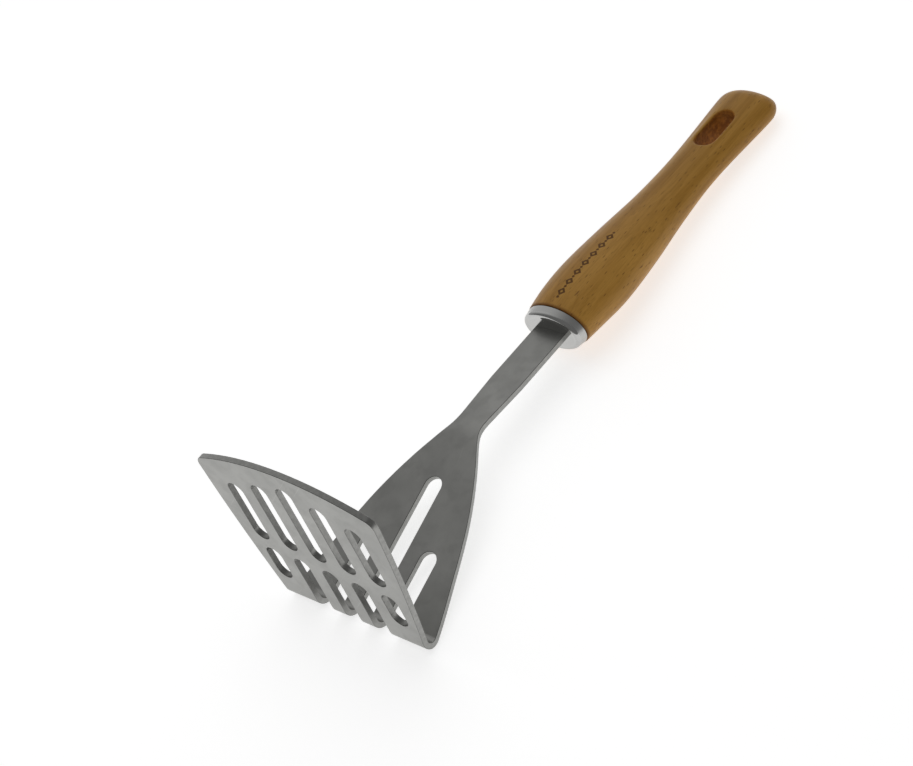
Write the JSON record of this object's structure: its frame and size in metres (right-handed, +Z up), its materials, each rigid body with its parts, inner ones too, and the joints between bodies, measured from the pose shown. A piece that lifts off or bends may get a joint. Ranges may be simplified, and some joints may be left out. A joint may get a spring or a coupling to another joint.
{
  "type": "potato masher",
  "caption": "Potato masher bent from one slotted stainless sheet, with an oval metal ferrule and a waisted beech handle that has a hanging hole.",
  "frame": {"origin": "bottom centre of the box of the whole tool, lying on its back on a flat surface", "axes": "+Z up, +Y from the mashing plate towards the end of the handle, +X across the plate; the mashing face looks towards -Y"},
  "size_m": [0.0838, 0.2692, 0.0791],
  "materials": {
    "stainless_sheet": "satin, fine brushed, deburred edges",
    "ferrule_metal": "polished face, satin side",
    "beech": "satin varnished beech with short dark flecks",
    "resin": "cured amber resin, hidden"
  },
  "bodies": {
    "root": {"masher_blade": "stainless_sheet", "ferrule": "ferrule_metal", "handle": "beech", "tang_adhesive": "resin"}
  },
  "joints": []
}
